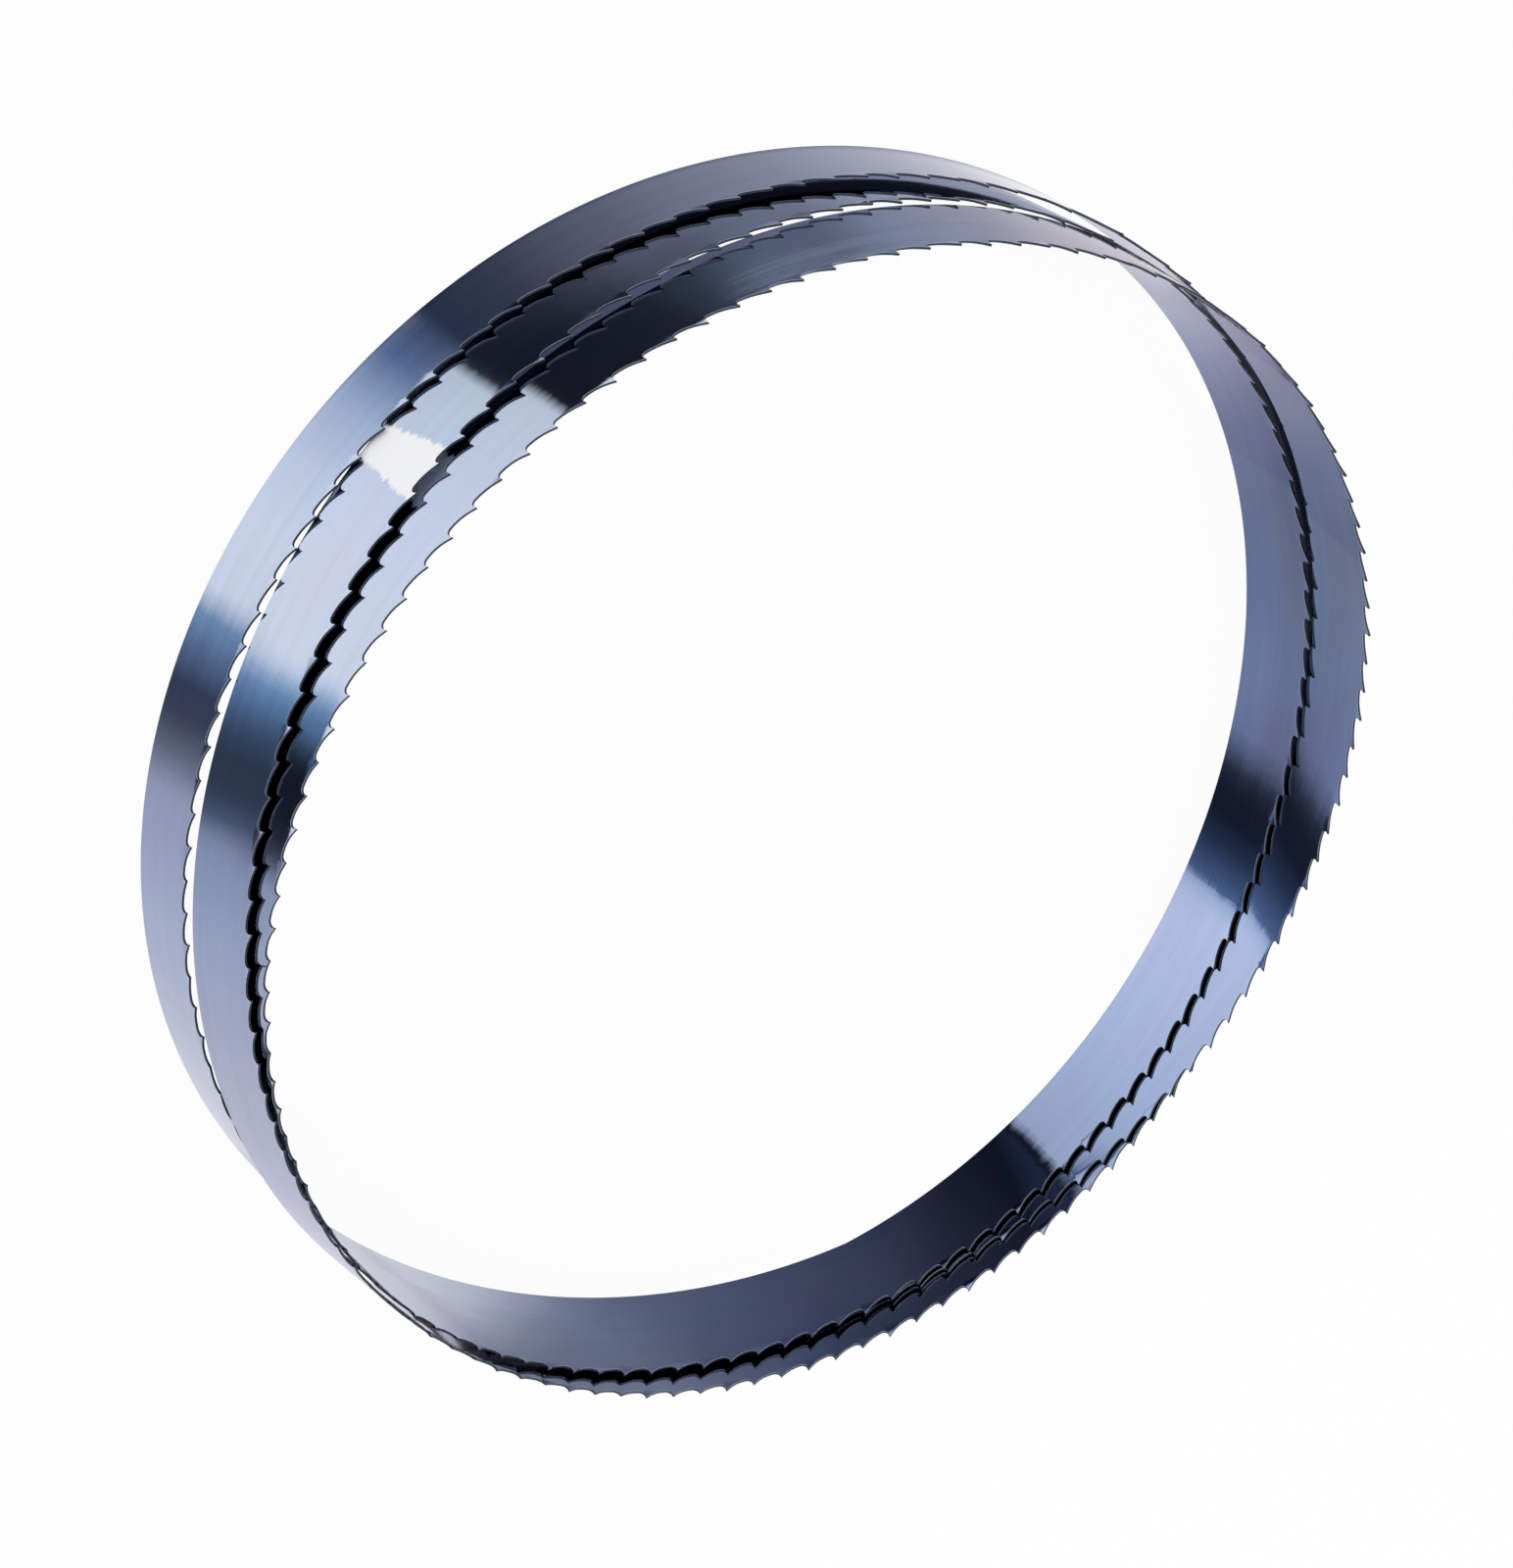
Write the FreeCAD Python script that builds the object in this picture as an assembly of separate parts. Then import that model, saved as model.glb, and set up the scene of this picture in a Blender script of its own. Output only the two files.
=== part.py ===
# Band saw blade: one endless band of toothed spring steel, coiled into three turns.
import FreeCAD, Part
import math
import os

# Sizes in millimetres and degrees

# The band
band_width = 20.0           # back edge to tooth tips
band_thickness = 0.5
tooth_pitch = 6.35          # four teeth to the inch
tooth_count = 351           # a multiple of three, so that the raker set closes
weld_allowance = 0.5        # how much longer the one tooth space at the weld is

# One tooth, a hook tooth on a single edge
gullet_depth = 1.75
gullet_radius = 0.9
hook_angle = 10.0           # rake face leans forward by this much
set_offset = 0.18           # how far a set tip leaves the band, to either side
back_chords = 2             # straight steps that follow the round of the tooth's back
gullet_chords = 3           # and of the gullet

# The coil is three turns, and the line closes on itself at the end of the third. Slow waves
# that run round the whole band move it in and out (spread) and up and down (rise). Each wave
# has the count of its crests in the three turns, its swing and the turn of its first crest.
turns = 3
weld_turn = 2.0             # where on the three turns the weld lies
spread_waves = (
    (1, 1.53, 1.282),       # one turn outside the others
    (2, 0.09, 1.066),       # the rest: turns out of round, where they bear on each other
    (4, 0.25, 0.358),
    (5, 0.41, 0.332),
    (6, 0.36, 0.308),
    (7, 0.09, 0.408),
    (8, 0.13, 0.151),
    (9, 0.51, 0.240),
    (10, 0.10, 0.239),
    (11, 0.11, 0.016),
    (12, 0.22, 0.079),
)
rise_waves = (
    (1, 6.10, 2.799),       # one turn above the others
    (2, 11.54, 0.164),      # and one below, where the turns cross
    (3, 5.27, 0.992),       # all turns lean together
    (4, 0.63, 0.423),       # the rest: how the band gives under its own weight
    (5, 0.57, 0.116),
    (6, 1.25, 0.377),
    (7, 0.21, 0.408),
    (8, 0.32, 0.282),
    (9, 0.24, 0.126),
)

# Sizes that follow from the ones above
band_length = tooth_count * tooth_pitch + weld_allowance
samples_per_turn = 480
teeth_per_stretch = 13


# The coil's line: middle of the band's width, run clockwise seen from the teeth

def waveSum(waves, turn, order):
    # value (order 0), first or second derivative by azimuth of a sum of waves
    total = 0.0
    for count, swing, crest in waves:
        rate = -count / turns
        angle = 2 * math.pi * count * (turn - crest) / turns
        total += swing * rate ** order * math.cos(angle + order * math.pi / 2)
    return total


def coilFrame(turn, mean_radius):
    # point on the line, direction along the band, direction to the teeth and direction outwards
    azimuth = -math.pi / 2 - 2 * math.pi * turn
    radius = mean_radius + waveSum(spread_waves, turn, 0)
    radius_1 = waveSum(spread_waves, turn, 1)
    radius_2 = waveSum(spread_waves, turn, 2)
    out = FreeCAD.Vector(math.cos(azimuth), math.sin(azimuth), 0)
    side = FreeCAD.Vector(-math.sin(azimuth), math.cos(azimuth), 0)
    up = FreeCAD.Vector(0, 0, 1)
    point = out * radius + up * waveSum(rise_waves, turn, 0)
    first = out * radius_1 + side * radius + up * waveSum(rise_waves, turn, 1)
    second = out * (radius_2 - radius) + side * (2 * radius_1) + up * waveSum(rise_waves, turn, 2)
    across = first.cross(second).normalize()
    outward = first.cross(across).normalize()
    return point, first, across, outward


def coilTable(mean_radius):
    # distance along the line at evenly spaced turns
    count = turns * samples_per_turn
    marks = [turns * i / count for i in range(count + 1)]
    points = [coilFrame(mark, mean_radius)[0] for mark in marks]
    distances = [0.0]
    for before, after in zip(points, points[1:]):
        chord = (after - before).Length
        bend = chord / mean_radius
        distances.append(distances[-1] + chord * (1 + bend ** 2 / 24))
    return marks, distances


def fitRadius():
    # the mean radius at which the line is exactly as long as the band
    radius = band_length / (2 * math.pi * turns)
    for step in range(6):
        marks, distances = coilTable(radius)
        radius += (band_length - distances[-1]) / (2 * math.pi * turns)
    return radius, marks, distances


mean_radius, marks, distances = fitRadius()


def turnAt(length):
    # the turn reached at a distance along the line
    whole, rest = divmod(length, distances[-1])
    low, high = 0, len(distances) - 1
    while high - low > 1:
        middle = (low + high) // 2
        if distances[middle] <= rest:
            low = middle
        else:
            high = middle
    share = (rest - distances[low]) / (distances[high] - distances[low])
    return marks[low] + share * (marks[high] - marks[low])


weld_start = 0.0
for mark, distance in zip(marks, distances):
    if mark <= weld_turn:
        weld_start = distance


def bandPoint(along, height, side):
    # along the band from the weld, up from the back edge, out from the middle of the thickness
    point, first, across, outward = coilFrame(turnAt(weld_start + along), mean_radius)
    return point + across * (height - band_width / 2) + outward * side


# One tooth's outline: x along the band from the gullet bottom behind it, y from the back edge

def bow(centre_x, centre_y, radius, start, end, chords):
    # points at even steps of an arc, angles from straight down, positive towards +x
    points = []
    for step in range(chords + 1):
        angle = start + (end - start) * step / chords
        points.append((centre_x + radius * math.sin(angle), centre_y - radius * math.cos(angle)))
    return points


def toothOutline(pitch):
    # the back is an arc that leaves the gullet bottom level and meets a straight facet to the tip
    hook = math.radians(hook_angle)
    straight = gullet_depth - gullet_radius * (1 + math.sin(hook))
    rake_run = straight * math.tan(hook)
    gullet_run = gullet_radius * math.cos(hook) - rake_run
    root = band_width - gullet_depth
    low, high = math.radians(5), math.radians(80)
    while high - low > 1e-9:
        slope = (low + high) / 2
        run = gullet_depth / math.tan(slope) + (gullet_depth - straight) / math.sin(slope)
        if run + gullet_run > pitch:
            low = slope
        else:
            high = slope
    back_radius = (gullet_depth - straight) / (1 - math.cos(slope))
    back = bow(0, root + back_radius, back_radius, 0, slope, back_chords)
    gullet = bow(pitch, root + gullet_radius, gullet_radius, -math.pi / 2 - hook, 0, gullet_chords)
    return {"back": back, "tip": (pitch - gullet_run, band_width), "gullet": gullet}


def toothPitch(index):
    return tooth_pitch + (weld_allowance if index == tooth_count - 1 else 0.0)


# Surfaces of one stretch of band, with x and y of the flat band as their own coordinates

margin = 2


def stretchSurface(low_row, high_row, knots, low_height, high_height):
    # ruled from a lower row of points to an upper one
    curves = []
    for row in (low_row, high_row):
        curve = Part.BSplineCurve()
        curve.interpolate(Points=row, Parameters=knots)
        curves.append(curve)
    poles = [[a, b] for a, b in zip(curves[0].getPoles(), curves[1].getPoles())]
    surface = Part.BSplineSurface()
    surface.buildFromPolesMultsKnots(
        poles, curves[0].getMultiplicities(), [2, 2], curves[0].getKnots(),
        [low_height, high_height], False, False, curves[0].Degree, 1)
    return surface


def line(surface, start, end):
    a, b = FreeCAD.Base.Vector2d(*start), FreeCAD.Base.Vector2d(*end)
    return Part.Geom2d.Line2dSegment(a, b).toShape(surface)


def polyline(surface, points):
    return [line(surface, a, b) for a, b in zip(points, points[1:])]


def stretchFaces(first, last):
    # all faces of the teeth first to last - 1 and of the band under them
    starts = [index * tooth_pitch for index in range(first - margin, last)]
    starts.append(starts[-1] + toothPitch(last - 1))
    for step in range(margin):
        starts.append(starts[-1] + tooth_pitch)
    half = band_thickness / 2
    level = toothOutline(tooth_pitch)["gullet"][0][1]

    def row(height, side):
        return [bandPoint(x, height, side) for x in starts]

    faces = []
    outlines = []
    for side in (half, -half):
        body = stretchSurface(row(0, side), row(band_width, side), starts, 0, band_width)
        bent = {}
        for lean in (set_offset, -set_offset):
            bent[lean] = stretchSurface(
                row(level, side), row(band_width, side + lean), starts, level, band_width)
        bottom = line(body, (starts[margin], 0), (starts[-1 - margin], 0))
        edges = []
        upper = []
        for index in range(first, last):
            shift = starts[margin + index - first]
            outline = toothOutline(toothPitch(index))
            back = [(x + shift, y) for x, y in outline["back"]]
            gullet = [(x + shift, y) for x, y in outline["gullet"]]
            tip = (outline["tip"][0] + shift, band_width)
            lean = (set_offset, -set_offset, 0.0)[index % 3]
            surface = bent[lean] if lean else body
            back_edges = polyline(body, back)
            gullet_edges = polyline(body, gullet)
            facet = line(surface, back[-1], tip)
            rake = line(surface, tip, gullet[0])
            if lean:
                edges += back_edges + [line(body, back[-1], gullet[0])] + gullet_edges
                root = line(surface, gullet[0], back[-1])
                tooth = Part.Face(surface, Part.Wire([root, facet, rake]))
                faces.append(tooth)
            else:
                edges += back_edges + [facet, rake] + gullet_edges
            upper += back_edges + [facet, rake] + gullet_edges
        root_y = band_width - gullet_depth
        left = line(body, (starts[margin], 0), (starts[margin], root_y))
        right = line(body, (starts[-1 - margin], 0), (starts[-1 - margin], root_y))
        faces.append(Part.Face(body, Part.Wire([bottom, right] + edges[::-1] + [left])))
        outlines.append([bottom] + upper)
    for outer, inner in zip(*outlines):
        faces.append(Part.makeRuledSurface(outer, inner))
    return faces


all_faces = []
first = 0
while first < tooth_count:
    last = min(first + teeth_per_stretch, tooth_count)
    all_faces += stretchFaces(first, last)
    first = last
print("faces", len(all_faces))

shell = Part.makeCompound(all_faces)
shell.sewShape(0.001)
shell = shell.Shells[0] if shell.Shells else shell
print("closed", shell.isClosed(), "faces", len(shell.Faces))
band = Part.Solid(shell)
if band.Volume < 0:
    band.reverse()
print("valid", band.isValid(), "volume", round(band.Volume, 1), "length", round(band_length, 2))

# The coil rests on its back edges: its lowest point is at height zero
box = band.BoundBox
shift = FreeCAD.Vector(-box.Center.x, -box.Center.y, -box.ZMin)
band.translate(shift)
print("moved by", shift, "mean radius", round(mean_radius, 3))

os.makedirs("parts", exist_ok=True)
band.exportStep("parts/saw_band.step")
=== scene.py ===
import math
import bpy
import numpy as np
from mathutils import Matrix, Vector


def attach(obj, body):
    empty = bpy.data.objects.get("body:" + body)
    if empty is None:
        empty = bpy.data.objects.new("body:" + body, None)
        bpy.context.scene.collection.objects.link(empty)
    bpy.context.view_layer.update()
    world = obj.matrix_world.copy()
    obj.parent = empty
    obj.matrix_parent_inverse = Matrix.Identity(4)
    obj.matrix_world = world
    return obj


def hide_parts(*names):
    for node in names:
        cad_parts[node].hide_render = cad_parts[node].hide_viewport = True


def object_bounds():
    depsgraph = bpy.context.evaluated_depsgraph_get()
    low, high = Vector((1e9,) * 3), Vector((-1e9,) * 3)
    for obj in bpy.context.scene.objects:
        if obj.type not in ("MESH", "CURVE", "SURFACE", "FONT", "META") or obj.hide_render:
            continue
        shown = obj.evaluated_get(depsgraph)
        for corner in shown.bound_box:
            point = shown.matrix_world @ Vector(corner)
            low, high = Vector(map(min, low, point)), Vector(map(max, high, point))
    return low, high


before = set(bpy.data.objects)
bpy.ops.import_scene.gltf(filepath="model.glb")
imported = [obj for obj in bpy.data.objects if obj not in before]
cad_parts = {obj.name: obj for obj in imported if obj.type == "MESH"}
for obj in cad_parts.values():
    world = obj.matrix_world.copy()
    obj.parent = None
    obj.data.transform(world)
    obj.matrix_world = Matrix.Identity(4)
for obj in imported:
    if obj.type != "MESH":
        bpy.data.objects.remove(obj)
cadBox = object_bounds()
millimetre = 0.001
print("frame loaded")

# The band in millimetres and degrees, as the frame has it
band = {
    "width": 20.0,
    "thickness": 0.5,
    "toothPitch": 6.35,
    "toothCount": 351,
    "weldAllowance": 0.5,
    "gulletDepth": 1.75,
    "gulletRadius": 0.9,
    "hookAngle": 10.0,
    "setOffset": 0.18,
    "setOrder": (1.0, -1.0, 0.0),     # out, in and straight, tooth by tooth
    "setCurve": 1.5,          # a tooth leans more and more towards its tip
    "backSteps": 4,           # points round the back of a tooth
    "gulletSteps": 6,         # and round its gullet
    "facetSlopes": (5, 80, 20001),    # slopes tried for the facet: first, last and count
    "edgeRound": 0.04,        # small bevel along every edge
    "plainRows": (6.0, 12.0, 17.4),   # heights of the rows of points under the teeth
    "toothRows": (0.4, 0.75, 1.0),    # shares of the way from the last of them to the edge
    "columnPull": 0.7,        # how far the columns under a tooth follow its outline
    "turns": 3,
    "weldTurn": 2.0,          # where on the turns the weld lies
    "samplesPerTurn": 480,    # points at which the line is measured
    "fitSteps": 6,            # rounds in which the mean radius is found
    # waves round the whole band: count of crests, swing, turn of the first crest
    "spreadWaves": (
        (1, 1.53, 1.282), (2, 0.09, 1.066), (4, 0.25, 0.358), (5, 0.41, 0.332),
        (6, 0.36, 0.308), (7, 0.09, 0.408), (8, 0.13, 0.151), (9, 0.51, 0.240),
        (10, 0.10, 0.239), (11, 0.11, 0.016), (12, 0.22, 0.079)),
    "riseWaves": (
        (1, 6.10, 2.799), (2, 11.54, 0.164), (3, 5.27, 0.992), (4, 0.63, 0.423),
        (5, 0.57, 0.116), (6, 1.25, 0.377), (7, 0.21, 0.408), (8, 0.32, 0.282),
        (9, 0.24, 0.126)),
}
bandLength = band["toothCount"] * band["toothPitch"] + band["weldAllowance"]


def waveSum(waves, turn, order):
    # sum of swing * cos(2 pi count (turn - crest) / turns), or its derivative by azimuth
    total = np.zeros_like(turn)
    for count, swing, crest in waves:
        rate = -count / band["turns"]
        angle = 2 * np.pi * count * (turn - crest) / band["turns"]
        total += swing * rate ** order * np.cos(angle + order * np.pi / 2)
    return total


def coilFrame(turn, meanRadius):
    # the line is a circle moved out by the spread and up by the rise; the width of the band
    # stands along the cross product of the line's first and second derivatives
    azimuth = -np.pi / 2 - 2 * np.pi * turn
    spread, spread1, spread2 = [waveSum(band["spreadWaves"], turn, n)[:, None] for n in range(3)]
    rise, rise1, rise2 = [waveSum(band["riseWaves"], turn, n)[:, None] for n in range(3)]
    radius = meanRadius + spread
    cosine, sine = np.cos(azimuth), np.sin(azimuth)
    zero = np.zeros_like(turn)
    out = np.stack([cosine, sine, zero], -1)
    side = np.stack([-sine, cosine, zero], -1)
    up = np.array([0.0, 0.0, 1.0])
    point = out * radius + up * rise
    first = out * spread1 + side * radius + up * rise1
    second = out * (spread2 - radius) + side * (2 * spread1) + up * rise2
    across = np.cross(first, second)
    across /= np.linalg.norm(across, axis=1, keepdims=True)
    outward = np.cross(first, across)
    outward /= np.linalg.norm(outward, axis=1, keepdims=True)
    return point, across, outward


def coilTable(meanRadius):
    # distance along the line at evenly spaced turns: each arc = chord * (1 + bend^2 / 24)
    marks = np.linspace(0, band["turns"], band["turns"] * band["samplesPerTurn"] + 1)
    points = coilFrame(marks, meanRadius)[0]
    chords = np.linalg.norm(np.diff(points, axis=0), axis=1)
    arcs = chords * (1 + (chords / meanRadius) ** 2 / 24)
    return marks, np.concatenate([[0.0], np.cumsum(arcs)])


# the mean radius at which the line is exactly as long as the band
circles = 2 * np.pi * band["turns"]
meanRadius = bandLength / circles
for step in range(band["fitSteps"]):
    marks, distances = coilTable(meanRadius)
    meanRadius += (bandLength - distances[-1]) / circles
weldStart = np.interp(band["weldTurn"], marks, distances)
print("line fitted, mean radius", round(meanRadius, 3), "mm")


def bandPoints(along, height, side):
    # point = line + across * (height from mid-width) + outward * side
    turn = np.interp((weldStart + along) % distances[-1], distances, marks)
    point, across, outward = coilFrame(turn, meanRadius)
    return point + across * (height - band["width"] / 2)[:, None] + outward * side[:, None]


def toothColumns(pitch):
    # one tooth's outline from gullet bottom to gullet bottom: round back, facet, rake, gullet.
    # The slope of the facet is the one whose run, depth / tan + rest / sin, fills the pitch
    hook = math.radians(band["hookAngle"])
    depth, radius = band["gulletDepth"], band["gulletRadius"]
    straight = depth - radius * (1 + math.sin(hook))
    gulletRun = radius * math.cos(hook) - straight * math.tan(hook)
    root = band["width"] - depth
    slopes = np.radians(np.linspace(*band["facetSlopes"]))
    runs = depth / np.tan(slopes) + (depth - straight) / np.sin(slopes)
    slope = np.interp(pitch - gulletRun, runs[::-1], slopes[::-1])
    backRadius = (depth - straight) / (1 - math.cos(slope))
    back = np.linspace(0, slope, band["backSteps"] + 1)
    gullet = np.linspace(-math.pi / 2 - hook, 0, band["gulletSteps"] + 1)[:-1]
    x = np.concatenate([
        backRadius * np.sin(back), [pitch - gulletRun], pitch + radius * np.sin(gullet)])
    y = np.concatenate([
        root + backRadius * (1 - np.cos(back)), [band["width"]],
        root + radius * (1 - np.cos(gullet))])
    return x, y


def bandOutline():
    # the toothed edge of the whole band, the lean of each point's tooth, and the place along
    # the band of the column under it. The tooth before the weld has the longer pitch
    pitches = np.full(band["toothCount"], band["toothPitch"])
    pitches[-1] += band["weldAllowance"]
    starts = (np.cumsum(pitches) - pitches)[:, None]
    teeth = [toothColumns(pitch) for pitch in (pitches[0], pitches[-1])]
    toothX, toothY = [np.tile(part, (band["toothCount"], 1)) for part in teeth[0]]
    toothX[-1], toothY[-1] = teeth[1]
    even = np.linspace(np.zeros_like(pitches), pitches, toothX.shape[1], endpoint=False, axis=1)
    pull = band["columnPull"]
    level = starts + (1 - pull) * even + pull * np.maximum.accumulate(toothX, axis=1)
    lean = np.resize(band["setOrder"], band["toothCount"])
    return [part.ravel() for part in (
        starts + toothX, toothY, np.broadcast_to(lean[:, None], toothX.shape), level)]


def bandGrid():
    # closed tube: columns along the band, rows once round its section, which goes up the
    # outer face, over the toothed edge, down the inner face and under the back edge
    outlineX, outlineY, lean, levelX = bandOutline()
    ahead = np.roll(outlineX, -1) - np.roll(outlineX, 1)
    ahead[[0, -1]] += bandLength
    climb = np.roll(outlineY, -1) - np.roll(outlineY, 1)
    size = np.hypot(ahead, climb)
    bevel, half = band["edgeRound"], band["thickness"] / 2
    insetX = outlineX + climb / size * bevel
    insetY = outlineY - ahead / size * bevel
    flat = np.ones_like(outlineX)
    face = [(levelX, y * flat) for y in (bevel, *band["plainRows"])]
    upper = band["plainRows"][-1]
    for share in band["toothRows"]:
        face.append((levelX + share * (insetX - levelX), upper + share * (insetY - upper)))
    rows = [(x, y, half * flat) for x, y in face]
    rows.append((outlineX, outlineY, (half - bevel) * flat))
    rows.append((outlineX, outlineY, (bevel - half) * flat))
    rows += [(x, y, -half * flat) for x, y in face[::-1]]
    rows.append((levelX, 0 * flat, (bevel - half) * flat))
    rows.append((levelX, 0 * flat, (half - bevel) * flat))
    along, height, side = [np.stack(part, 1) for part in zip(*rows)]
    root = band["width"] - band["gulletDepth"]
    lift = np.clip((height - root) / band["gulletDepth"], 0, 1) ** band["setCurve"]
    return along, height, side, side + lift * lean[:, None] * band["setOffset"]


def gridFaces(columns, rows):
    # quads of a grid that closes on itself both ways
    column = np.arange(columns)[:, None]
    row = np.arange(rows)[None, :]
    nextColumn, nextRow = (column + 1) % columns, (row + 1) % rows
    corners = [
        column * rows + row, column * rows + nextRow,
        nextColumn * rows + nextRow, nextColumn * rows + row]
    return np.stack([np.broadcast_to(c, (columns, rows)) for c in corners], -1).reshape(-1, 4)


def makeMesh(name, points, faces):
    mesh = bpy.data.meshes.new(name)
    mesh.vertices.add(len(points))
    mesh.vertices.foreach_set("co", points.astype(np.float32).ravel())
    mesh.loops.add(faces.size)
    mesh.loops.foreach_set("vertex_index", faces.astype(np.int32).ravel())
    mesh.polygons.add(len(faces))
    mesh.polygons.foreach_set("loop_start", np.arange(len(faces), dtype=np.int32) * 4)
    mesh.polygons.foreach_set("use_smooth", np.ones(len(faces), dtype=bool))
    mesh.update(calc_edges=True)
    return mesh


def sharpenEdges(mesh, rows):
    # hard edges along the band where the bevels meet the faces; four rows of the section
    # belong to the two narrow edges, and the others are shared by the two faces
    faceRows = (rows - 4) // 2
    hardRows = [0, *range(faceRows - 1, faceRows + 3), *range(rows - 3, rows)]
    ends = np.empty(len(mesh.edges) * 2, dtype=np.int32)
    mesh.edges.foreach_get("vertices", ends)
    rowOf = ends.reshape(-1, 2) % rows
    hard = (rowOf[:, 0] == rowOf[:, 1]) & np.isin(rowOf[:, 0], hardRows)
    flags = mesh.attributes.new("sharp_edge", "BOOLEAN", "EDGE")
    flags.data.foreach_set("value", hard)


def markPlaces(mesh, faces, along, height, side):
    # each face corner's place on the flat band: along and height in metres, side in millimetres
    place = np.stack([along * millimetre, height * millimetre, side], -1).reshape(-1, 3)
    corners = place[faces.ravel()].reshape(-1, 4, 3)
    # the faces that close the loop go on past the band's length and don't run back to 0
    length = bandLength * millimetre
    x = corners[:, :, 0]
    closing = x.max(1) - x.min(1) > length / 2
    corners[:, :, 0] += (closing[:, None] & (x < length / 2)) * length
    attribute = mesh.attributes.new("bandPlace", "FLOAT_VECTOR", "CORNER")
    attribute.data.foreach_set("vector", corners.astype(np.float32).ravel())
    lie = mesh.uv_layers.new(name="bandLie")
    lie.uv.foreach_set("vector", corners[:, :, :2].astype(np.float32).ravel())


def makeBand():
    along, height, side, offset = bandGrid()
    columns, rows = along.shape
    points = bandPoints(along.ravel(), height.ravel(), offset.ravel()) * millimetre
    faces = gridFaces(columns, rows)
    # the line's own frame is moved so that the piece's box is centred in the frame's box
    # and stands on the same level
    low, high = np.array(cadBox[0]), np.array(cadBox[1])
    lowest, highest = points.min(0), points.max(0)
    move = (low + high - lowest - highest) / 2
    move[2] = low[2] - lowest[2]
    points += move
    mesh = makeMesh("sawBand", points, faces)
    markPlaces(mesh, faces, along, height, side)
    sharpenEdges(mesh, rows)
    piece = bpy.data.objects.new("sawBand", mesh)
    bpy.context.scene.collection.objects.link(piece)
    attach(piece, "root")
    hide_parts("saw_band")
    return piece, move


# Shader helpers

def addNode(tree, kind, values=None, **settings):
    node = tree.nodes.new(kind)
    for key, value in settings.items():
        setattr(node, key, value)
    for key, value in (values or {}).items():
        node.inputs[key].default_value = value
    return node


def feed(tree, sockets, values):
    # a number or tuple is set on its socket, and another node's output is linked to it
    for socket, value in zip(sockets, values):
        if isinstance(value, (int, float, tuple)):
            socket.default_value = value
        else:
            tree.links.new(value, socket)


def mathNode(tree, operation, *values):
    node = addNode(tree, "ShaderNodeMath", operation=operation)
    feed(tree, node.inputs, values)
    return node.outputs[0]


def vectorNode(tree, operation, *values):
    node = addNode(tree, "ShaderNodeVectorMath", operation=operation)
    feed(tree, node.inputs, values)
    return node.outputs[0]


def mixColor(tree, factor, first, second, blend="MIX"):
    node = addNode(tree, "ShaderNodeMix", data_type="RGBA", blend_type=blend)
    feed(tree, [node.inputs[n] for n in (0, 6, 7)], (factor, first, second))
    return node.outputs[2]


def smoothStep(tree, value, zeroAt, oneAt):
    node = addNode(
        tree, "ShaderNodeMapRange", {1: zeroAt, 2: oneAt}, interpolation_type="SMOOTHSTEP")
    tree.links.new(value, node.inputs[0])
    return node.outputs[0]


def smoothSpan(tree, value, rise, fall):
    # 1 within a span and 0 outside: rise and fall each say where it is 0 and where it is 1
    return mathNode(
        tree, "MULTIPLY", smoothStep(tree, value, *rise), smoothStep(tree, value, *fall))


def makeRamp(tree, degrees, stops):
    # colours by angle, once round: the ramp runs from 0 to 1 and ends as it starts
    ramp = addNode(tree, "ShaderNodeValToRGB")
    elements = ramp.color_ramp.elements
    elements.remove(elements[1])
    for index, (angle, colour) in enumerate((*stops, (360, stops[0][1]))):
        stop = elements.new(angle / 360) if index else elements[0]
        stop.color = (*colour, 1)
    tree.links.new(mathNode(tree, "DIVIDE", degrees, 360.0), ramp.inputs[0])
    return ramp.outputs[0]


# Steel: cold rolled and polished, with fine streaks along the band

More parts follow.
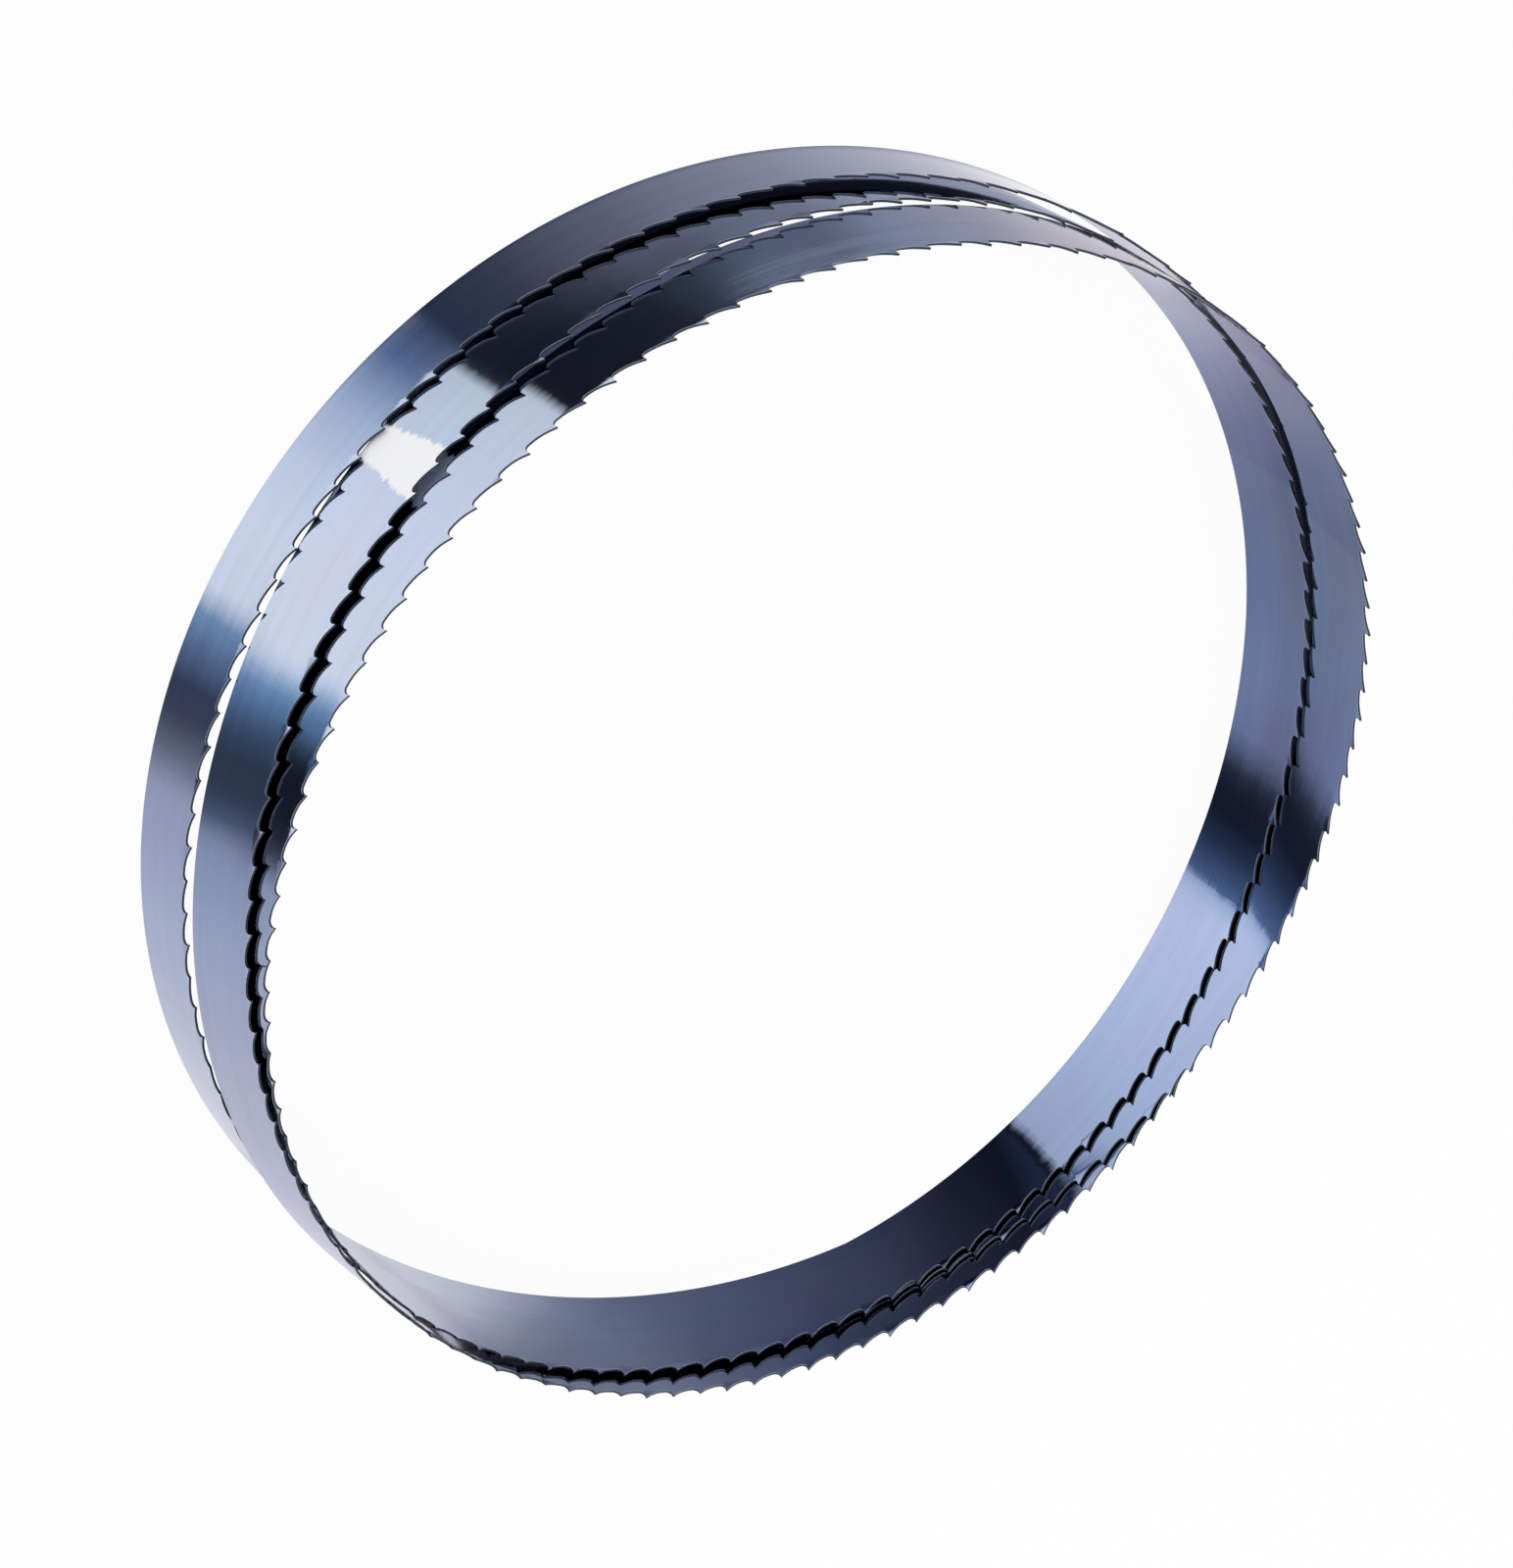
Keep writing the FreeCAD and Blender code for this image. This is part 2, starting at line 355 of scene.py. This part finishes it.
steel = {
    "colour": (0.50, 0.555, 0.67, 1),
    "violet": (0.53, 0.54, 0.67, 1),
    "cyan": (0.455, 0.565, 0.665, 1),
    # painted shade: the near-black of the thin edge faces, for the dark surroundings they mirror
    "edge": (0.06, 0.07, 0.09, 1),
    # painted sheen: bluish colour that shows as lighter streaks on one stretch
    "paintedSheen": (0.31, 0.40, 0.56, 1),
    # ground patch: real, but its near-white, matte colour is painted sheen
    "groundAndSheen": (0.93, 0.93, 0.935, 1),
    "groundStrokesAndSheen": (0.80, 0.81, 0.84, 1),
    # streaks: waves per metre along and up the band and per millimetre through it, detail
    # and roughness of the noise
    "fineStreaks": ((60, 2600, 3), 3, 0.6),
    "broadStreaks": ((22, 420, 3), 3, 0.6),
    "tiltStreaks": ((70, 1400, 3), 3, 0.6),
    "violetClouds": ((18, 45, 2), 2, 0.6),
    "cyanClouds": ((11, 70, 2), 2, 0.6),
    "groundEnds": ((60, 800, 3), 4, 0.7),
    "paintedSheenStrokes": ((24, 430, 3), 4, 0.65),
    # where the noise of the clouds and of the strokes turns to violet, cyan and painted sheen
    "violetShare": (0.52, 0.75),
    "cyanShare": (0.55, 0.75),
    "paintedSheenShare": (0.40, 0.66),
    "strokeShare": 0.25,      # how much of the ground patch the strokes take at most
    "streakShade": 0.22,      # range of lightness of the broad streaks
    # millimetres from mid-thickness: edge colour up to the first, face colour from the second
    "faceFrom": (0.212, 0.232),
    "roughness": 0.035,
    "broadRoughness": 0.04,   # added by the broad streaks
    "edgeRoughness": 0.40,
    "groundRoughness": 0.5,
    "anisotropy": 0.7,
    "anisotropyTurn": 0.25,   # a quarter turn: highlights spread across the streaks
    "fineDepth": 0.0000015,   # relief of the fine streaks, in metres
    "streakTilt": 0.009,      # how far streaks turn the mirror along the band
    "sweepTilt": 0.014,       # and the broader ones
    "weldMiddle": 0.0030,     # middle of the ground patch past the joint, in metres
    "weldHalf": 0.0036,       # half its length at the back edge
    "weldFlare": 0.10,        # and how much longer it gets towards the teeth, per metre
    "weldRagged": 0.0036,     # how ragged its ends are
    "weldSoft": 0.0004,       # and how soft
    "groundMetal": 0.93,      # what the patch takes off the mirror
    "paintedSheenMetal": 0.30,       # and what the painted sheen strokes take off it
    # a stretch of painted sheen: where it is 0 and 1 along the band and up from the back edge,
    # first as it rises and then as it falls
    "paintedSheenAlong": ((0.796, 0.810), (0.862, 0.844)),
    "paintedSheenUp": ((0.0085, 0.0135), (0.0190, 0.0175)),
}


def makeSteel():
    material = bpy.data.materials.new("polishedBandSteel")
    material.use_nodes = True
    tree = material.node_tree
    shader = tree.nodes["Principled BSDF"]
    place = addNode(tree, "ShaderNodeAttribute", attribute_name="bandPlace").outputs["Vector"]
    split = addNode(tree, "ShaderNodeSeparateXYZ")
    tree.links.new(place, split.inputs[0])
    along, height, side = split.outputs

    def streaks(name):
        scale, detail, rough = steel[name]
        mapping = addNode(tree, "ShaderNodeMapping", {"Scale": scale})
        tree.links.new(place, mapping.inputs[0])
        noise = addNode(
            tree, "ShaderNodeTexNoise", {"Scale": 1.0, "Detail": detail, "Roughness": rough})
        tree.links.new(mapping.outputs[0], noise.inputs["Vector"])
        return noise.outputs["Fac"]

    fine, broad = streaks("fineStreaks"), streaks("broadStreaks")
    # tint: slow changes between blue, violet and cyan greys, and fainter streaks over them
    violet = smoothStep(tree, streaks("violetClouds"), *steel["violetShare"])
    cyan = smoothStep(tree, streaks("cyanClouds"), *steel["cyanShare"])
    colour = mixColor(tree, violet, steel["colour"], steel["violet"])
    colour = mixColor(tree, cyan, colour, steel["cyan"])
    swing = steel["streakShade"]
    gray = addNode(tree, "ShaderNodeCombineColor")
    feed(tree, gray.inputs, [mathNode(tree, "MULTIPLY_ADD", broad, swing, 1 - swing / 2)] * 3)
    colour = mixColor(tree, 1.0, colour, gray.outputs[0], "MULTIPLY")
    # edge: the thin faces between the sides are rough from milling; their near-black is painted
    # shade
    face = smoothStep(tree, mathNode(tree, "ABSOLUTE", side), *steel["faceFrom"])
    colour = mixColor(tree, face, steel["edge"], colour)
    # weld: a patch ground across the band, with ends as ragged as the strokes. It lies round
    # the joint, so it is measured from both ends of the band
    past = mathNode(tree, "SUBTRACT", along, steel["weldMiddle"])
    behind = mathNode(tree, "SUBTRACT", past, bandLength * millimetre)
    distance = mathNode(
        tree, "MINIMUM", mathNode(tree, "ABSOLUTE", past), mathNode(tree, "ABSOLUTE", behind))
    rag = steel["weldRagged"]
    ragged = mathNode(tree, "MULTIPLY_ADD", streaks("groundEnds"), rag, -rag / 2)
    half = mathNode(tree, "MULTIPLY_ADD", height, steel["weldFlare"], steel["weldHalf"])
    reach = mathNode(tree, "SUBTRACT", mathNode(tree, "ADD", distance, ragged), half)
    patch = smoothStep(tree, reach, steel["weldSoft"], -steel["weldSoft"])
    patch = mathNode(tree, "MULTIPLY", patch, face)
    # the near-white of the ground patch is painted sheen, for the light its rough steel scatters
    strokes = mathNode(tree, "MULTIPLY", fine, steel["strokeShare"])
    groundAndSheen = mixColor(tree, strokes, steel["groundAndSheen"], steel["groundStrokesAndSheen"])
    # painted sheen: bluish strokes beside the teeth on one stretch, less mirror and more colour
    paintedSheen = smoothStep(tree, streaks("paintedSheenStrokes"), *steel["paintedSheenShare"])
    for value, name in ((along, "paintedSheenAlong"), (height, "paintedSheenUp")):
        paintedSheen = mathNode(tree, "MULTIPLY", paintedSheen, smoothSpan(tree, value, *steel[name]))
    colour = mixColor(tree, paintedSheen, colour, steel["paintedSheen"])
    colour = mixColor(tree, patch, colour, groundAndSheen)
    tree.links.new(colour, shader.inputs["Base Color"])
    metallic = mathNode(tree, "MULTIPLY_ADD", patch, -steel["groundMetal"], 1.0)
    metallic = mathNode(tree, "MULTIPLY_ADD", paintedSheen, -steel["paintedSheenMetal"], metallic)
    tree.links.new(metallic, shader.inputs["Metallic"])
    # roughness: the most that the streaks, the edge and the ground patch ask for
    edgeRough = steel["edgeRoughness"]
    rough = mathNode(tree, "MULTIPLY_ADD", broad, steel["broadRoughness"], steel["roughness"])
    for other in (
            mathNode(tree, "MULTIPLY_ADD", face, -edgeRough, edgeRough),
            mathNode(tree, "MULTIPLY", patch, steel["groundRoughness"])):
        rough = mathNode(tree, "MAXIMUM", rough, other)
    tree.links.new(rough, shader.inputs["Roughness"])
    shader.inputs["Anisotropic"].default_value = steel["anisotropy"]
    shader.inputs["Anisotropic Rotation"].default_value = steel["anisotropyTurn"]
    # relief: normal = bumped normal + band direction * (streaks - 0.5) * tilt
    bump = addNode(tree, "ShaderNodeBump", {"Strength": 1.0, "Distance": steel["fineDepth"]})
    tree.links.new(fine, bump.inputs["Height"])
    direction = addNode(tree, "ShaderNodeTangent", direction_type="UV_MAP", uv_map="bandLie")
    tree.links.new(direction.outputs[0], shader.inputs["Tangent"])
    small, large = steel["streakTilt"], steel["sweepTilt"]
    tilt = mathNode(
        tree, "ADD",
        mathNode(tree, "MULTIPLY_ADD", streaks("tiltStreaks"), small, -small / 2),
        mathNode(tree, "MULTIPLY_ADD", broad, large, -large / 2))
    scale = addNode(tree, "ShaderNodeVectorMath", operation="SCALE")
    feed(tree, (scale.inputs[0], scale.inputs["Scale"]), (direction.outputs[0], tilt))
    turned = vectorNode(tree, "ADD", bump.outputs[0], scale.outputs[0])
    tree.links.new(vectorNode(tree, "NORMALIZE", turned), shader.inputs["Normal"])
    return material


# Studio: the band's walls mirror what lies below them, so cards of light lie on a plane far
# under the floor. Their brightness goes by the angle round a centre, in degrees from +X.
# Spans are given as in smoothSpan: where they are 0 and 1 as they rise, then as they fall.
# The stops of nearCards and farCards follow colours that were measured on the steel in the
# photograph: each by the angle that it mirrors, divided by the steel's own colour, and then
# corrected against the render. For a plain studio, put a few greys in their place.

studio = {
    "depth": -0.30,
    "centre": (0.045, 0.178),
    "size": 2.5,
    "strength": 1.2,
    # near cards reach out to a radius that grows by the angle, is level, and falls again
    "nearRise": (0.346, 193),         # radius at this angle on the rising side
    "nearFall": (0.467, 298),         # and on the falling side
    "nearSlope": 0.0041,              # metres per degree
    "nearMost": 0.512,
    "nearSpan": 0.034,                # half the width of the change from near to far cards
    "window": (269.0, 19.0),          # the far window's middle and half its width in degrees
    "sharpTo": (0.466, 0.400),        # radius up to which its first and last side are hard
    "sharpTurn": (268, 280),          # angles between which that radius changes
    "sharpSoft": 0.004,
    "leanMost": 3.0,                  # degrees that its first side leans, later at the middle
    "leanRadius": (0.600, 0.535),
    "leanKnee": (0.50, 0.515),        # under the knee it leans only by this share
    "leanKneeShare": 0.6,
    "leanTurn": (275, 262),
    "lateMost": 3.5,                  # degrees that near cards past it start later
    "lateRadius": (0.390, 0.350),
    "lateSpan": ((290, 294), (318, 306)),
    "nearSpot": 0.62,                 # a darker spot past the window, close to the middle
    "nearSpotRadius": (0.390, 0.350),
    "nearSpotSpan": ((290, 293.5), (305, 301)),
    "farSpot": 0.75,                  # and one far out
    "farSpotPast": (0.074, 0.094),
    "farSpotSpan": ((292, 297), (312, 306)),
    "rim": (0.9, 0.92, 0.95, 1),      # pale rim all round
    "rimFrom": (0.64, 0.72),
    "deepFrom": 1.5,                  # more mirrorings than this are to and fro between turns
    "deepShare": 0.07,                # and this share is left of their light
    "crossingSpan": ((76, 84), (184, 176)),
    "crossingRadius": (0.143, 0.133),
    "outerSpan": ((152, 157), (215, 200)),
    "nearCards": (
        (0, (0.67, 0.66, 0.72)),
        (100, (0.79, 0.77, 0.79)),
        (160, (0.84, 0.82, 0.82)),
        (179, (0.85, 0.84, 0.85)),
        (187, (0.74, 0.72, 0.74)),
        (194, (0.60, 0.58, 0.62)),
        (201, (0.485, 0.48, 0.53)),
        (207, (0.41, 0.41, 0.47)),
        (214, (0.32, 0.32, 0.38)),
        (226, (0.22, 0.225, 0.285)),
        (232, (0.16, 0.16, 0.21)),
        (238, (0.11, 0.115, 0.15)),
        (244, (0.052, 0.060, 0.087)),
        (251, (0.029, 0.041, 0.075)),
        (256, (0.11, 0.18, 0.33)),
        (262, (0.50, 0.60, 0.73)),
        (269, (0.80, 0.86, 0.92)),
        (276, (0.90, 0.93, 0.96)),
        (283.2, (0.87, 0.90, 0.94)),
        (285.2, (0.24, 0.37, 0.53)),
        (288.5, (0.13, 0.20, 0.32)),
        (292.5, (0.048, 0.062, 0.10)),
        (296, (0.06, 0.07, 0.108)),
        (300, (0.18, 0.20, 0.25)),
        (304, (0.42, 0.43, 0.54)),
        (320, (0.54, 0.56, 0.675)),
        (342, (0.665, 0.66, 0.72))),
    "farCards": (
        (0, (0.60, 0.59, 0.67)),
        (100, (0.75, 0.725, 0.75)),
        (178, (0.59, 0.54, 0.56)),
        (186, (0.53, 0.485, 0.52)),
        (193, (0.395, 0.375, 0.43)),
        (200, (0.325, 0.33, 0.40)),
        (206, (0.26, 0.287, 0.363)),
        (213, (0.145, 0.153, 0.205)),
        (220, (0.125, 0.155, 0.21)),
        (226, (0.047, 0.062, 0.083)),
        (232, (0.019, 0.023, 0.033)),
        (240, (0.012, 0.014, 0.023)),
        (249.3, (0.012, 0.013, 0.021)),
        (249.8, (0.77, 0.80, 0.83)),
        (265, (0.88, 0.92, 0.97)),
        (285.5, (0.97, 0.98, 0.99)),
        (287.2, (0.80, 0.87, 0.95)),
        (289, (0.26, 0.41, 0.60)),
        (291, (0.15, 0.265, 0.42)),
        (294.5, (0.06, 0.10, 0.16)),
        (298, (0.038, 0.055, 0.084)),
        (302, (0.042, 0.058, 0.09)),
        (305, (0.085, 0.115, 0.175)),
        (308.5, (0.33, 0.365, 0.48)),
        (320, (0.46, 0.50, 0.62)),
        (342, (0.60, 0.575, 0.65))),
}


def makeCard(name, size, height):
    # a level square with an empty material of the same name
    mesh = bpy.data.meshes.new(name)
    mesh.from_pydata(
        [(x * size, y * size, height) for x, y in ((-1, -1), (1, -1), (1, 1), (-1, 1))],
        [], [(0, 1, 2, 3)])
    card = bpy.data.objects.new(name, mesh)
    bpy.context.scene.collection.objects.link(card)
    material = bpy.data.materials.new(name)
    material.use_nodes = True
    material.node_tree.nodes.clear()
    mesh.materials.append(material)
    return card, material.node_tree


def makePolarGroup():
    # angle round a centre, atan2 of the way from it as 0 to 360 degrees, and radius in metres
    group = bpy.data.node_groups.new("polarPlace", "ShaderNodeTree")
    for name in ("Centre X", "Centre Y"):
        group.interface.new_socket(name, in_out="INPUT", socket_type="NodeSocketFloat")
    for name in ("Degrees", "Radius"):
        group.interface.new_socket(name, in_out="OUTPUT", socket_type="NodeSocketFloat")
    inward, outward = addNode(group, "NodeGroupInput"), addNode(group, "NodeGroupOutput")
    split = addNode(group, "ShaderNodeSeparateXYZ")
    group.links.new(addNode(group, "ShaderNodeTexCoord").outputs["Object"], split.inputs[0])
    x = mathNode(group, "SUBTRACT", split.outputs[0], inward.outputs["Centre X"])
    y = mathNode(group, "SUBTRACT", split.outputs[1], inward.outputs["Centre Y"])
    angle = mathNode(group, "MULTIPLY_ADD", mathNode(group, "ARCTAN2", y, x), 1 / math.tau, 1.0)
    degrees = mathNode(group, "MULTIPLY", mathNode(group, "FRACT", angle), 360.0)
    square = mathNode(group, "MULTIPLY_ADD", x, x, mathNode(group, "MULTIPLY", y, y))
    group.links.new(degrees, outward.inputs["Degrees"])
    group.links.new(mathNode(group, "SQRT", square), outward.inputs["Radius"])
    return group


def polarPlace(tree, group, centre):
    node = addNode(tree, "ShaderNodeGroup", node_tree=group)
    feed(tree, node.inputs, centre)
    return node.outputs["Degrees"], node.outputs["Radius"]


def onlyMirrored(card):
    card.visible_camera = False
    card.visible_diffuse = False
    card.visible_transmission = False
    card.visible_shadow = False


def finishShader(tree, shader):
    output = addNode(tree, "ShaderNodeOutputMaterial")
    tree.links.new(shader.outputs[0], output.inputs[0])


def makeRoom(group):
    room, tree = makeCard("studioBelow", studio["size"], studio["depth"])
    turn, radius = polarPlace(tree, group, studio["centre"])
    # how far a place is past the radius where near cards give way to far ones
    slope = studio["nearSlope"]
    (riseRadius, riseTurn), (fallRadius, fallTurn) = studio["nearRise"], studio["nearFall"]
    limit = mathNode(
        tree, "MINIMUM",
        mathNode(tree, "MULTIPLY_ADD", turn, slope, riseRadius - riseTurn * slope),
        mathNode(tree, "MULTIPLY_ADD", turn, -slope, fallRadius + fallTurn * slope))
    limit = mathNode(tree, "MINIMUM", limit, studio["nearMost"])
    past = mathNode(tree, "SUBTRACT", radius, limit)
    beyond = smoothStep(tree, past, -studio["nearSpan"], studio["nearSpan"])
    # the far window's first side leans: it starts later towards the middle
    low = studio["leanKneeShare"]
    lean = mathNode(
        tree, "MULTIPLY", smoothStep(tree, radius, *studio["leanRadius"]), studio["leanMost"])
    knee = mathNode(
        tree, "MULTIPLY_ADD", smoothStep(tree, radius, *studio["leanKnee"]), 1 - low, low)
    lean = mathNode(tree, "MULTIPLY", lean, knee)
    lean = mathNode(tree, "MULTIPLY", lean, smoothStep(tree, turn, *studio["leanTurn"]))
    # and the near cards past the window start later close to the middle
    late = mathNode(
        tree, "MULTIPLY", smoothStep(tree, radius, *studio["lateRadius"]), studio["lateMost"])
    late = mathNode(tree, "MULTIPLY", late, smoothSpan(tree, turn, *studio["lateSpan"]))
    near = makeRamp(tree, mathNode(tree, "SUBTRACT", turn, late), studio["nearCards"])
    far = makeRamp(tree, mathNode(tree, "SUBTRACT", turn, lean), studio["farCards"])

    def darkSpot(colour, name, distance, reach):
        # a spot that darkens the cards by a share, within a span of angles and of distances
        spot = smoothSpan(tree, turn, *studio[name + "Span"])
        spot = mathNode(tree, "MULTIPLY", spot, smoothStep(tree, distance, *reach))
        spot = mathNode(tree, "MULTIPLY", spot, studio[name])
        return mixColor(tree, spot, colour, (0, 0, 0, 1))

    near = darkSpot(near, "nearSpot", radius, studio["nearSpotRadius"])
    far = darkSpot(far, "farSpot", past, studio["farSpotPast"])
    # within the window far cards show from a hard edge on
    window = mathNode(tree, "COMPARE", turn, *studio["window"])
    first, last = studio["sharpTo"]
    hardTo = mathNode(
        tree, "MULTIPLY_ADD", smoothStep(tree, turn, *studio["sharpTurn"]), last - first, first)
    soft = studio["sharpSoft"]
    inside = smoothStep(tree, mathNode(tree, "SUBTRACT", radius, hardTo), soft, -soft)
    share = mathNode(tree, "MAXIMUM", beyond, mathNode(tree, "MULTIPLY", window, inside))
    colour = mixColor(tree, share, near, far)
    rim = smoothStep(tree, radius, *studio["rimFrom"])
    colour = mixColor(tree, rim, colour, studio["rim"])
    # painted shade: the cards give rays that two turns mirror to and fro between them only a
    # small share of their light, from the second mirroring on, and from the third where the
    # turns cross
    crossing = mathNode(
        tree, "MULTIPLY", smoothSpan(tree, turn, *studio["crossingSpan"]),
        smoothStep(tree, radius, *studio["crossingRadius"]))
    outer = smoothSpan(tree, turn, *studio["outerSpan"])
    zone = mathNode(tree, "MAXIMUM", crossing, outer)
    least = mathNode(tree, "ADD", zone, studio["deepFrom"])
    path = addNode(tree, "ShaderNodeLightPath")
    deep = mathNode(tree, "GREATER_THAN", path.outputs["Glossy Depth"], least)
    full = studio["strength"]
    strength = mathNode(tree, "MULTIPLY_ADD", deep, (studio["deepShare"] - 1) * full, full)
    glow = addNode(tree, "ShaderNodeEmission")
    feed(tree, glow.inputs, (colour, strength))
    finishShader(tree, glow)
    onlyMirrored(room)


# Shade: a round tint just under the floor, which only the rays from the inner faces cross.
# Stops say what it lets through, by the angle round the coil. They were found in the same way
# as those of the cards, on the inner faces.

shade = {
    "size": 0.125,
    "height": -0.0005,
    "clearFrom": (0.1188, 0.1203),    # clear outside the turns
    "warm": (0.87, 0.77, 0.76, 1),    # a warmer and darker stretch close to the middle
    "warmRadius": (0.110, 0.101),
    "warmTurn": (112, 125),
    "stops": (
        (0, (0.95, 0.95, 0.95)),
        (12, (0.85, 0.85, 0.88)),
        (17, (0.72, 0.72, 0.78)),
        (21.5, (0.50, 0.51, 0.60)),
        (26.5, (0.32, 0.34, 0.42)),
        (32, (0.25, 0.27, 0.36)),
        (55, (0.245, 0.28, 0.375)),
        (65, (0.215, 0.25, 0.325)),
        (70, (0.17, 0.19, 0.25)),
        (76.5, (0.19, 0.21, 0.28)),
        (78, (0.60, 0.66, 0.80)),
        (104, (0.74, 0.80, 0.93)),
        (112, (0.55, 0.62, 0.75)),
        (124, (0.49, 0.60, 0.73)),
        (128, (0.46, 0.58, 0.70)),
        (140, (0.33, 0.39, 0.50)),
        (148, (0.30, 0.34, 0.45)),
        (158, (0.40, 0.41, 0.52)),
        (168, (0.62, 0.62, 0.72)),
        (176, (0.80, 0.80, 0.85)),
        (196, (0.50, 0.52, 0.60)),
        (340, (0.50, 0.52, 0.60))),
}


def makeShade(group):
    card, tree = makeCard("shadeInCoil", shade["size"], shade["height"])
    turn, radius = polarPlace(tree, group, (0.0, 0.0))
    warm = mathNode(
        tree, "MULTIPLY", smoothStep(tree, radius, *shade["warmRadius"]),
        smoothStep(tree, turn, *shade["warmTurn"]))
    colour = mixColor(
        tree, 1.0, makeRamp(tree, turn, shade["stops"]),
        mixColor(tree, warm, (1, 1, 1, 1), shade["warm"]), "MULTIPLY")
    clear = smoothStep(tree, radius, *shade["clearFrom"])
    tint = addNode(tree, "ShaderNodeBsdfTransparent")
    tree.links.new(mixColor(tree, clear, colour, (1, 1, 1, 1)), tint.inputs[0])
    finishShader(tree, tint)
    onlyMirrored(card)


# Floor and world: plain and pale, lit evenly from all sides

surroundings = {
    "floorSize": 6.0,
    "floorColour": (0.97, 0.97, 0.97, 1),
    "floorPaleness": 0.92,    # share of plain white that the camera sees, shadow in the rest
    "light": (1, 1, 1, 1),
    "lightStrength": 1.0,
}


def makeFloor():
    floor, tree = makeCard("floor", surroundings["floorSize"], 0.0)
    diffuse = addNode(tree, "ShaderNodeBsdfDiffuse", {"Color": surroundings["floorColour"]})
    glow = addNode(tree, "ShaderNodeEmission", {"Color": (1, 1, 1, 1), "Strength": 1.0})
    path = addNode(tree, "ShaderNodeLightPath")
    share = mathNode(
        tree, "MULTIPLY", path.outputs["Is Camera Ray"], surroundings["floorPaleness"])
    mix = addNode(tree, "ShaderNodeMixShader")
    feed(tree, mix.inputs, (share, diffuse.outputs[0], glow.outputs[0]))
    finishShader(tree, mix)
    floor.visible_glossy = False


def makeWorld():
    world = bpy.data.worlds.new("studio")
    bpy.context.scene.world = world
    world.use_nodes = True
    back = world.node_tree.nodes["Background"]
    back.inputs["Color"].default_value = surroundings["light"]
    back.inputs["Strength"].default_value = surroundings["lightStrength"]


# Camera: angles and distance of the photograph, sizes in its 1544 x 1600 pixels

camera = {
    "elevation": 51.014,
    "roll": 39.151,
    "distance": 0.8964,
    "focalPixels": 4924.5,
    "centreRight": 34.52,
    "centreDown": 13.72,
    "frameHeight": 1600.0,
    "sensor": 36.0,
}


def makeCamera(target):
    # turned about its own axis by the roll, and back from the target along that axis
    elevation, roll = math.radians(camera["elevation"]), math.radians(camera["roll"])
    back = Vector((0, -math.cos(elevation), math.sin(elevation)))
    right = Vector((1, 0, 0))
    up = back.cross(right)
    imageRight = -right * math.sin(roll) + up * math.cos(roll)
    imageUp = -right * math.cos(roll) - up * math.sin(roll)
    data = bpy.data.cameras.new("camera")
    data.sensor_width = camera["sensor"]
    data.lens = camera["focalPixels"] / camera["frameHeight"] * camera["sensor"]
    data.shift_x = -camera["centreRight"] / camera["frameHeight"]
    data.shift_y = camera["centreDown"] / camera["frameHeight"]
    view = bpy.data.objects.new("camera", data)
    bpy.context.scene.collection.objects.link(view)
    turn = Matrix((imageRight, imageUp, back)).transposed().to_4x4()
    view.matrix_world = Matrix.Translation(Vector(target) + back * camera["distance"]) @ turn
    bpy.context.scene.camera = view


piece, move = makeBand()
print("band made:", len(piece.data.polygons), "faces, line moved by", move)
piece.data.materials.append(makeSteel())
print("steel made")
polarGroup = makePolarGroup()
makeRoom(polarGroup)
makeShade(polarGroup)
print("studio below and shade made")
makeFloor()
makeWorld()
makeCamera(move)
bpy.context.scene.view_settings.view_transform = "Standard"
print("floor, world and camera made")
